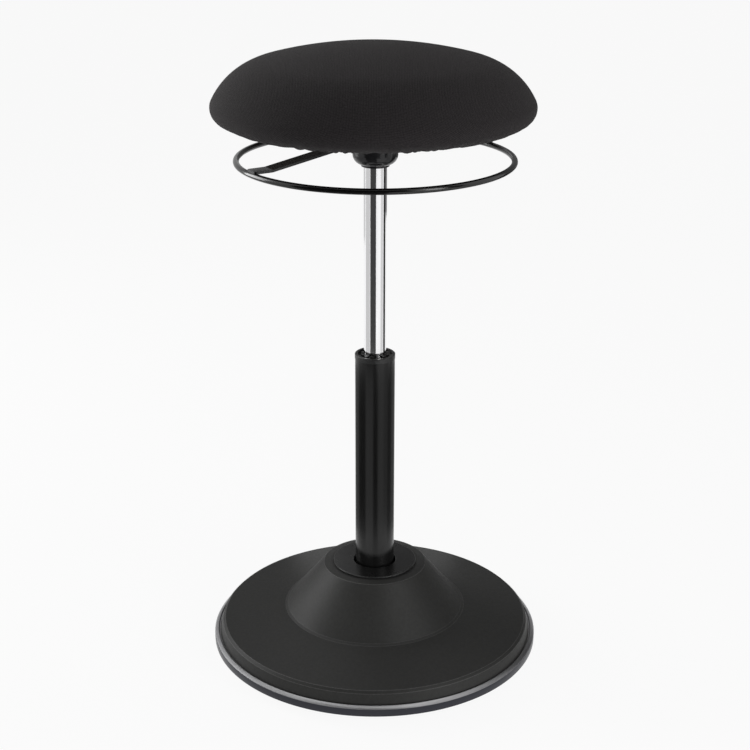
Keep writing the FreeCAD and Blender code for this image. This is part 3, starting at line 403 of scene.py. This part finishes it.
# %% [markdown]
# Moulded edges are a little round, and they are rubbed before anything else is. The Bevel node gives
# the direction that a rounded surface would have. Where it differs from the true one there is an
# edge, and the finish turns shinier there. It is also painted a touch paler there, a painted
# highlight along the edge. The grain then sits on the rounding.

# %% A helper for rubbed edges with a painted highlight
EDGE_BEND = (0.08, 0.4)
EDGE_SAMPLES = 6
# The edges are painted paler by this share, towards this grey: a painted highlight.
EDGE_HIGHLIGHT_SHARE = 0.12
EDGE_HIGHLIGHT_COLOUR = (0.5, 0.5, 0.49, 1.0)


def colour_sockets(sockets):
    """A Mix node has sockets of every kind, and this picks those for colours."""
    return [socket for socket in sockets if socket.type == "RGBA"]


def polish_and_highlight_edges(finish, reach, shine):
    """Round the corners to the eye, make them shinier where rubbed, and paint them paler, a painted
    highlight.
    """
    nodes, links = finish.node_tree.nodes, finish.node_tree.links
    rounded = nodes.new("ShaderNodeBevel")
    rounded.samples = EDGE_SAMPLES
    rounded.inputs["Radius"].default_value = reach
    grain = [node for node in nodes if node.type == "BUMP"][0]
    links.new(rounded.outputs["Normal"], grain.inputs["Normal"])
    flat = nodes.new("ShaderNodeNewGeometry")
    bend = nodes.new("ShaderNodeVectorMath")
    bend.operation = "DISTANCE"
    links.new(rounded.outputs["Normal"], bend.inputs[0])
    links.new(flat.outputs["Normal"], bend.inputs[1])
    gloss = shader_of(finish).inputs["Specular IOR Level"]
    links.new(remap(finish, bend.outputs["Value"], gloss.default_value, shine, EDGE_BEND), gloss)
    colour = shader_of(finish).inputs["Base Color"]
    # A painted highlight: the colour is mixed towards pale grey along the edges.
    edge_highlight_mix = nodes.new("ShaderNodeMix")
    edge_highlight_mix.data_type = "RGBA"
    links.new(remap(finish, bend.outputs["Value"], 0.0, EDGE_HIGHLIGHT_SHARE, EDGE_BEND), edge_highlight_mix.inputs[0])
    fresh, highlighted = colour_sockets(edge_highlight_mix.inputs)
    fresh.default_value = colour.default_value
    if colour.is_linked:
        links.new(colour.links[0].from_socket, fresh)
    highlighted.default_value = EDGE_HIGHLIGHT_COLOUR
    links.new(colour_sockets(edge_highlight_mix.outputs)[0], colour)


finishes = {}
print("edges can be rubbed")

# %% [markdown]
# ## The plastics
# The big base cover is moulded in a tool with a fine spark-eroded grain: matt, slightly grey, and
# a little shinier where it has been wiped and along its edges. Its edges, and the collar's, are also
# painted a touch paler, a painted highlight. The collar is smoother.

# %% Mix the plastics of the foot
moulded = new_finish("grained black moulding", (0.024, 0.024, 0.023), 0.5, specular=0.26)
vary_colour(moulded, scale=260, dark=(0.021, 0.021, 0.02), light=(0.025, 0.025, 0.024))
vary_gloss(moulded, scale=320, low=0.46, high=0.54)
add_grain(moulded, cloudy(moulded, scale=900, detail=2.0), strength=0.35, depth=0.0003)
polish_and_highlight_edges(moulded, reach=0.0014, shine=0.8)
finishes["moulded_black"] = moulded

collar = new_finish("smooth black collar plastic", (0.008, 0.008, 0.008), 0.28, specular=0.35)
vary_gloss(collar, scale=40, low=0.25, high=0.28)
add_grain(collar, cloudy(collar, scale=60, detail=2.0), strength=0.03, depth=0.0002)
polish_and_highlight_edges(collar, reach=0.0006, shine=1.0)
finishes["collar_black"] = collar
print("plastics mixed:", len(finishes))

# %% [markdown]
# The guide at the top of the column is a plain, slightly waxy plastic, and the bell under the seat is
# polished.

# %% Mix the plastics of the column
guide = new_finish("black guide plastic", (0.016, 0.016, 0.016), 0.36)
vary_gloss(guide, scale=160, low=0.3, high=0.44)
add_grain(guide, cloudy(guide, scale=1100, detail=2.0), strength=0.15, depth=0.0002)
finishes["bushing_black"] = guide

bell = new_finish("polished black moulding", (0.01, 0.01, 0.011), 0.14, specular=0.4)
vary_gloss(bell, scale=70, low=0.1, high=0.2)
add_grain(bell, cloudy(bell, scale=60, detail=2.0), strength=0.05, depth=0.0004)
finishes["gloss_black"] = bell
print("plastics mixed:", len(finishes))

# %% [markdown]
# The trim round the foot is a dark blue-grey band with a pale metal-like lip on top. It is one piece,
# so its colour changes with the height above the floor, over less than a millimetre.

# %% Mix the edge trim
RIM_SIDE_TOP = 0.022
LIP_BLUR = 0.0004
RIM_SIDE_COLOUR = (0.018, 0.019, 0.026)
RIM_LIP_COLOUR = (0.46, 0.46, 0.47)

rim_trim = new_finish("blue-grey edge trim", RIM_SIDE_COLOUR, 0.34, specular=0.28)
add_grain(rim_trim, cloudy(rim_trim, scale=500, detail=2.0), strength=0.08, depth=0.0002)
height = rim_trim.node_tree.nodes.new("ShaderNodeSeparateXYZ")
rim_trim.node_tree.links.new(placed_pattern(rim_trim), height.inputs[0])
lip = remap(
    rim_trim, height.outputs["Z"], 0.0, 1.0, (RIM_SIDE_TOP - LIP_BLUR, RIM_SIDE_TOP + LIP_BLUR))
two_tones(rim_trim, lip, RIM_SIDE_COLOUR, RIM_LIP_COLOUR)
rim_trim.node_tree.links.new(lip, shader_of(rim_trim).inputs["Metallic"])
finishes["rim_grey"] = rim_trim
print("finishes so far:", len(finishes))

# %% [markdown]
# ## The rubber
# The sole that the stool rocks on is matt rubber with a coarser grain and a trace of dust.

# %% Mix the rubbers
sole = new_finish("dusty sole rubber", (0.018, 0.018, 0.019), 0.8, specular=0.3)
vary_colour(sole, scale=55, dark=(0.014, 0.014, 0.014), light=(0.032, 0.031, 0.03))
vary_gloss(sole, scale=120, low=0.7, high=0.88)
add_grain(sole, cloudy(sole, scale=500, detail=3.0), strength=0.5, depth=0.0006)
finishes["sole_rubber"] = sole

seal = new_finish("oiled seal rubber", (0.012, 0.012, 0.012), 0.45)
vary_gloss(seal, scale=300, low=0.35, high=0.6)
add_grain(seal, cloudy(seal, scale=1400, detail=2.0), strength=0.2, depth=0.0002)
finishes["seal_rubber"] = seal
print("finishes so far:", len(finishes))

# %% [markdown]
# ## The metals
# The inner cylinder is hard chrome: a mirror with fine lines round it from grinding. The outer tube
# has a satin black paint with the faint ripple that sprayed paint dries to. The ring is painted
# too, in a thicker, glossier coat.

# %% Mix the metals
chrome = new_finish("ground hard chrome", (0.93, 0.93, 0.94), 0.09, metallic=1.0)
vary_gloss(chrome, scale=30, low=0.06, high=0.14, stretch=(1, 1, 60))
grinding = cloudy(chrome, scale=40, detail=2.0, stretch=(1, 1, 90))
add_grain(chrome, grinding, strength=0.06, depth=0.00005)
finishes["chrome_tube"] = chrome

tube_paint = new_finish("satin black tube paint", (0.006, 0.006, 0.006), 0.22)
vary_gloss(tube_paint, scale=25, low=0.2, high=0.26, stretch=(1, 1, 0.2))
add_grain(tube_paint, cloudy(tube_paint, scale=260, detail=2.0), strength=0.1, depth=0.0002)
finishes["column_black"] = tube_paint

ring_paint = new_finish("glossy black ring paint", (0.003, 0.003, 0.003), 0.16)
vary_gloss(ring_paint, scale=45, low=0.12, high=0.24)
add_grain(ring_paint, cloudy(ring_paint, scale=220, detail=2.0), strength=0.05, depth=0.0002)
finishes["ring_black"] = ring_paint

bracket_paint = new_finish("powder coated steel", (0.016, 0.016, 0.016), 0.42)
vary_gloss(bracket_paint, scale=80, low=0.36, high=0.5)
add_grain(bracket_paint, cloudy(bracket_paint, scale=520, detail=2.0), strength=0.3, depth=0.0003)
finishes["black_steel"] = bracket_paint
print("finishes so far:", len(finishes))

# %% [markdown]
# The bare metals are seen only from below or with the stool taken apart, but they get the same care:
# zinc has a crystal bloom, turned aluminium has rings, and cast iron is pitted.

# %% Mix the bare metals
zinc = new_finish("bright zinc plate", (0.6, 0.61, 0.62), 0.3, metallic=1.0)
vary_colour(zinc, scale=260, dark=(0.5, 0.51, 0.53), light=(0.68, 0.68, 0.67))
vary_gloss(zinc, scale=400, low=0.22, high=0.42)
finishes["zinc_steel"] = zinc

aluminium = new_finish("turned aluminium", (0.66, 0.66, 0.67), 0.28, metallic=1.0)
vary_gloss(aluminium, scale=60, low=0.2, high=0.4, stretch=(1, 1, 30))
turning = cloudy(aluminium, scale=60, detail=2.0, stretch=(1, 1, 40))
add_grain(aluminium, turning, strength=0.15, depth=0.0001)
finishes["bare_aluminium"] = aluminium

iron = new_finish("painted cast iron", (0.07, 0.07, 0.072), 0.62, metallic=0.3)
vary_colour(iron, scale=90, dark=(0.05, 0.05, 0.05), light=(0.1, 0.098, 0.095))
add_grain(iron, cloudy(iron, scale=240, detail=4.0), strength=0.7, depth=0.0008)
finishes["cast_weight"] = iron
print("finishes so far:", len(finishes))

# %% [markdown]
# ## The plywood pan
# The board inside the cushion shows from below, stained black. Its face veneer has long soft grain,
# made by a noise that is stretched along one direction, and the edge of each ply is left to the same
# pattern.

# %% Mix the wood
plywood = new_finish("black stained plywood", (0.03, 0.026, 0.022), 0.6, specular=0.3)
vary_colour(
    plywood, scale=30, dark=(0.018, 0.016, 0.014), light=(0.05, 0.042, 0.034), stretch=(0.12, 1, 6))
vary_gloss(plywood, scale=90, low=0.52, high=0.72, stretch=(0.15, 1, 1))
veneer = cloudy(plywood, scale=240, detail=3.0, stretch=(0.08, 1, 1))
add_grain(plywood, veneer, strength=0.3, depth=0.0003)
finishes["plywood"] = plywood
print("finishes so far:", len(finishes))

# %% [markdown]
# ## The seat cloth
# The cover is a black stretch knit, cut round and pulled over the cushion like a cap. Knit is a grid
# of small loops, so two sets of waves are crossed on the cloth's own map, which is unrolled from the
# middle of the cap and is measured in metres. The loops are nearly two millimetres wide, and the
# waves are bent a little, because no yarn runs quite straight. At a scale of one, Blender's waves
# are a twentieth of a full turn apart.

# %% A helper for rows of loops
KNIT_PITCH = 0.0018
WAVE_LENGTH_AT_ONE = math.tau / 20
YARN_WANDER = 2.4
YARN_DETAIL = 2.0


def knit_waves(finish, where, axis):
    """Ridges one loop apart along one direction of the cloth's map."""
    nodes, links = finish.node_tree.nodes, finish.node_tree.links
    waves = nodes.new("ShaderNodeTexWave")
    waves.wave_type = "BANDS"
    waves.bands_direction = axis
    waves.inputs["Scale"].default_value = WAVE_LENGTH_AT_ONE / KNIT_PITCH
    waves.inputs["Distortion"].default_value = YARN_WANDER
    waves.inputs["Detail"].default_value = YARN_DETAIL
    waves.inputs["Detail Scale"].default_value = YARN_DETAIL
    links.new(where, waves.inputs["Vector"])
    return waves.outputs["Fac"]


print("loop width in millimetres:", 1000 * KNIT_PITCH)

# %% [markdown]
# The yarn itself is uneven, so a finer noise is added to the loops. The same height makes the bump
# and the colour. The colour is darker between the loops, a painted shade, and lighter on them, a
# painted highlight. A sheen stands for the fine fibres, which catch light where the cloth turns away
# from the eye.

# %% Mix the cloth
SLUB_SCALE = 460
SLUB_SHARE = 0.9
# The colour is scaled down between the loops, a painted shade, and up on them, a painted highlight.
LOOP_GAP_SHADE = 0.55
LOOP_TOP_LIGHT = 1.6
LOOP_MIDDLE = (0.3, 1.0)


def knit(name, colour, roughness):
    """A knitted cloth: crossed loops as height, and a colour darker between them, a painted shade,
    and lighter on them, a painted highlight.
    """
    finish = new_finish(name, colour, roughness, specular=0.15)
    nodes, links = finish.node_tree.nodes, finish.node_tree.links
    cloth_map = nodes.new("ShaderNodeUVMap")
    cloth_map.uv_map = "cloth"
    loops = nodes.new("ShaderNodeMath")
    loops.operation = "MULTIPLY"
    links.new(knit_waves(finish, cloth_map.outputs[0], "X"), loops.inputs[0])
    links.new(knit_waves(finish, cloth_map.outputs[0], "Y"), loops.inputs[1])
    slub = nodes.new("ShaderNodeTexNoise")
    slub.inputs["Scale"].default_value = SLUB_SCALE
    slub.inputs["Detail"].default_value = YARN_DETAIL
    links.new(cloth_map.outputs[0], slub.inputs["Vector"])
    height = nodes.new("ShaderNodeMath")
    height.operation = "MULTIPLY_ADD"
    height.inputs[1].default_value = SLUB_SHARE
    links.new(slub.outputs["Fac"], height.inputs[0])
    links.new(loops.outputs[0], height.inputs[2])
    # Painted shade between the loops and a painted highlight on them.
    dark = [LOOP_GAP_SHADE * part for part in colour]
    light = [LOOP_TOP_LIGHT * part for part in colour]
    two_tones(finish, height.outputs[0], dark, light, LOOP_MIDDLE)
    add_grain(finish, height.outputs[0], strength=0.7, depth=0.0006)
    shader_of(finish).inputs["Sheen Weight"].default_value = 0.03
    shader_of(finish).inputs["Sheen Roughness"].default_value = 0.45
    shader_of(finish).inputs["Sheen Tint"].default_value = (0.9, 0.88, 0.86, 1.0)
    return finish


finishes["seat_fabric"] = knit("black stretch knit", (0.0178, 0.0158, 0.0166), 0.85)
finishes["elastic_band"] = knit("black woven elastic", (0.013, 0.013, 0.013), 0.8)
print("finishes so far:", len(finishes))

# %% [markdown]
# Cream foam fills the cushion. It is never seen from outside, but it is there when the cloth is off.

# %% Mix the foam
foam_finish = new_finish("cream seat foam", (0.66, 0.62, 0.5), 0.95, specular=0.1)
vary_colour(foam_finish, scale=120, dark=(0.6, 0.56, 0.44), light=(0.72, 0.68, 0.56))
add_grain(foam_finish, cloudy(foam_finish, scale=900, detail=3.0), strength=0.6, depth=0.0006)
finishes["foam"] = foam_finish
print("all finishes:", len(finishes))

# %% [markdown]
# ## The cushion's side view
# The cap's outline is four arcs that run into each other: a flat crown, a shoulder, a tight edge and
# a turn under the cushion. Each arc is made by swinging the outline's last point about the arc's
# centre, so only the centres and the angles are needed. Depth makes the same outline further in,
# for the foam that fills the cloth.

# %% Swing the outline
CUSHION_TOP = 0.78576
CLOTH_ROUND = 512
# centre across and up, radius, angle from and to in degrees, steps
CUSHION_ARCS = [
    ((0.0, 0.2692), 0.51656, 90.0, 74.9803, 14),
    ((0.11044, 0.680801), 0.0904, 74.9803, 26.8733, 14),
    ((0.17627, 0.71416), 0.0166, 26.8733, -60.442, 12),
    ((0.147614, 0.76469), 0.07469, -60.442, -86.6335, 14),
]


def cushion_outline(bm, depth):
    """Swing one point through the four arcs, this far inside the cloth."""
    tip = bm.verts.new((0.0, 0.0, CUSHION_TOP - depth))
    for (across, up), _radius, start, end, steps in CUSHION_ARCS:
        swung = bmesh.ops.spin(
            bm, geom=[tip], cent=(across, 0, up), axis=(0, 1, 0),
            angle=math.radians(start - end), steps=steps)
        tip = [part for part in swung["geom_last"] if isinstance(part, bmesh.types.BMVert)][0]


cap_bm = bmesh.new()
cushion_outline(cap_bm, 0.0)
spin_round(cap_bm, CLOTH_ROUND)
cap = settle(cap_bm, "seat_cover_cloth")
print("points in the cap:", len(cap.data.vertices))

# %% [markdown]
# ## The cloth's own map
# The knit has to follow the cap, so each point gets a place on the round piece of cloth before it
# was pulled on: as far from its middle as the outline is long up to there, in the same direction.

# %% Unroll the cap
ARC_END_REACH = 0.001


def cloth_distance(point):
    """How far along the outline a point is from the middle of the crown."""
    out = math.hypot(point.x, point.y)
    run = 0.0
    for (across, up), radius, start, end, _steps in CUSHION_ARCS:
        turn = math.degrees(math.atan2(point.z - up, out - across))
        inside = min(max(turn, end), start)
        run += radius * math.radians(start - inside)
        if inside > end + ARC_END_REACH:
            break
    return run


def map_cloth(piece):
    """Write the unrolled place of each corner into a map named cloth. Returns each point's run."""
    mesh = piece.data
    runs = [cloth_distance(vertex.co) for vertex in mesh.vertices]
    layer = mesh.uv_layers.new(name="cloth")
    for loop in mesh.loops:
        point = mesh.vertices[loop.vertex_index].co
        run = runs[loop.vertex_index]
        round_angle = math.atan2(point.y, point.x)
        layer.data[loop.index].uv = (run * math.cos(round_angle), run * math.sin(round_angle))
    return runs


runs = map_cloth(cap)
print("cloth from middle to hem in metres:", round(max(runs), 4))

# %% [markdown]
# ## The gathers
# Under the edge the round cloth is too wide, and elastic draws it in, so it stands in small folds.
# They begin a little below the edge and are deepest at the hem. No two are alike, so a smooth noise
# that runs round the stool sets their width and height.

# %% Gather the hem
GATHER_START = 0.206
GATHER_COUNT = 92
GATHER_DEPTH = 0.0013
GATHER_GROWTH = 1.6
HEM_RUN = 0.27


def round_noise(angle, scale, level):
    """A smooth noise on a circle of this size, so that it closes on itself round the stool."""
    return noise.noise(Vector((scale * math.cos(angle), scale * math.sin(angle), level)))


def gather_wave(angle, run):
    """The height of the folds, from about -1 to 1, at an angle round the stool."""
    wobble = 1.8 * round_noise(angle, 3.1, 0.4)
    drift = 6.0 * (run - HEM_RUN) * round_noise(angle, 9, 2.0)
    folds = math.cos(GATHER_COUNT * (angle + 0.05 * wobble + drift))
    uneven = round_noise(angle, 14, 30 * run)
    return (0.62 + 0.9 * uneven) * folds + 0.5 * uneven


def gather(piece, runs):
    """Raise the folds along the cloth's own directions, more and more towards the hem."""
    hem = max(runs)
    mesh = piece.data
    ways = [vertex.normal.copy() for vertex in mesh.vertices]
    for vertex, run, way in zip(mesh.vertices, runs, ways):
        share = (run - GATHER_START) / (hem - GATHER_START)
        if share > 0:
            angle = math.atan2(vertex.co.y, vertex.co.x)
            vertex.co += way * GATHER_DEPTH * share ** GATHER_GROWTH * gather_wave(angle, run)


gather(cap, runs)
print("folds round the hem:", GATHER_COUNT)

# %% [markdown]
# The soft parts were pulled on by hand and sit two and a half millimetres to the left of the pan.
# Of the foam, only what lies outside the pan or above it is moved, so it still fits round the pan.

# %% Pull the cover a little to the left
PULLED_LEFT = 0.0024
PAN_SEAT_RADIUS = 0.168
PAN_SEAT_TOP = 0.704
PAN_MARGIN = 0.001


def pull_left(piece, beyond):
    """Move the points that lie further out than this, or above the pan, to the left."""
    for vertex in piece.data.vertices:
        outside = math.hypot(vertex.co.x, vertex.co.y) > beyond
        if outside or vertex.co.z > PAN_SEAT_TOP + PAN_MARGIN:
            vertex.co.x -= PULLED_LEFT


pull_left(cap, 0.0)
print("pulled left by millimetres:", 1000 * PULLED_LEFT)

# %% [markdown]
# The cloth is one surface so far. Solidify gives it the thickness of the knit, inwards, so its outer
# face stays where it is.

# %% Give the cloth its thickness
CLOTH_THICK = 0.0016
thick = cap.modifiers.new("knit thickness", "SOLIDIFY")
thick.thickness = CLOTH_THICK
thick.offset = -1.0
cap.data.materials.append(finishes["seat_fabric"])
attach(cap, "seat")
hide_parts("seat_cover")
print("cloth is", 1000 * CLOTH_THICK, "mm thick")

# %% [markdown]
# ## The foam
# Inside the cap is a moulded foam bun on the plywood pan. It has the cap's outline, a cloth
# thickness further in, and is hollowed underneath where the pan sits. So the outline is cut off
# where it has turned under the cushion, and is led round the pan's edge and top to the axis.

# %% Turn the foam bun
FOAM_DEPTH = 0.0022
FOAM_ROUND = 128
FOAM_LIP_RADIUS = 0.173
FOAM_LIP_TOP = 0.71
PAN_SEAT_FLOOR = 0.697
PAN_HOLLOW = [
    (PAN_SEAT_RADIUS, PAN_SEAT_FLOOR),
    (PAN_SEAT_RADIUS, PAN_SEAT_TOP),
    (0.0, PAN_SEAT_TOP),
]

foam_bm = bmesh.new()
cushion_outline(foam_bm, FOAM_DEPTH)
beyond = [v for v in foam_bm.verts if v.co.z < FOAM_LIP_TOP and v.co.x < FOAM_LIP_RADIUS]
bmesh.ops.delete(foam_bm, geom=beyond, context="VERTS")
tip = min(foam_bm.verts, key=lambda v: v.co.z)
for across, up in PAN_HOLLOW:
    tip = bmesh.ops.extrude_vert_indiv(foam_bm, verts=[tip])["verts"][0]
    tip.co = (across, 0.0, up)
spin_round(foam_bm, FOAM_ROUND)
foam = settle(foam_bm, "seat_foam_bun")
pull_left(foam, PAN_SEAT_RADIUS + PAN_MARGIN)
foam.data.materials.append(finishes["foam"])
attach(foam, "seat")
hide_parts("seat_foam")
print("foam triangles:", sum(len(face.vertices) - 2 for face in foam.data.polygons))

# %% [markdown]
# ## The elastic in the hem
# A flat woven elastic runs inside the hem and draws it in. Drawn tight, it ripples with the folds of
# the cloth. It is a thin band, spun from a small rectangle and then rippled up and down.

# %% Thread the elastic
BAND_WIDTH = 0.004
BAND_ROUNDING = 0.0006
BAND_RIPPLE = 0.0005

low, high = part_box("hem_elastic")
band_outer = high.x
band_inner = band_outer - BAND_WIDTH
band_corners = [
    (band_inner, low.z), (band_outer, low.z), (band_outer, high.z), (band_inner, high.z)]
band_bm = rounded_outline(band_corners, BAND_ROUNDING, segments=2)
spin_round(band_bm, CLOTH_ROUND)
band = settle(band_bm, "hem_elastic_band")
for vertex in band.data.vertices:
    angle = math.atan2(vertex.co.y, vertex.co.x)
    vertex.co.z += BAND_RIPPLE * gather_wave(angle, HEM_RUN)
pull_left(band, 0.0)
band_map = band.data.uv_layers.new(name="cloth")
for loop in band.data.loops:
    point = band.data.vertices[loop.vertex_index].co
    band_map.data[loop.index].uv = (point.x, point.y)
band.data.materials.append(finishes["elastic_band"])
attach(band, "seat")
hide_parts("hem_elastic")
print("elastic across in metres:", round(2 * band_outer, 4))

# %% [markdown]
# ## The edge trim
# The band round the foot has a dark upright side and a pale, worn lip. Its outline is drawn with
# square corners first, and a bevel then rounds them all, so the lip catches a soft line of light.
# A narrow black gap is left between the lip and the cover.

# %% Turn the edge trim
RIM_CORNERS = [
    (0.19, 0.014), (0.2, 0.014), (0.2, 0.012), (0.212, 0.012),
    (0.212, RIM_SIDE_TOP), (0.2068, 0.0252), (0.2068, 0.023), (0.19, 0.023),
]
RIM_ROUNDING = 0.0009
RIM_ROUND = 256

rim_bm = rounded_outline(RIM_CORNERS, RIM_ROUNDING, segments=3)
spin_round(rim_bm, RIM_ROUND)
rim = settle(rim_bm, "rim_ring_turned")
rim.data.materials.append(finishes["rim_grey"])
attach(rim, "base")
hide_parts("rim_ring")
print("edge trim faces:", len(rim.data.polygons))

# %% [markdown]
# ## Finishes on the hard parts
# Every part in the frame already knows which finish it takes, because its one material is named
# after it. The new finishes are put in the same places.

# %% Dress the hard parts
dressed = 0
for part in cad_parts.values():
    for place in part.material_slots:
        place.material = finishes[place.material.name.split(".")[0]]
        dressed += 1
print("hard parts dressed:", dressed)
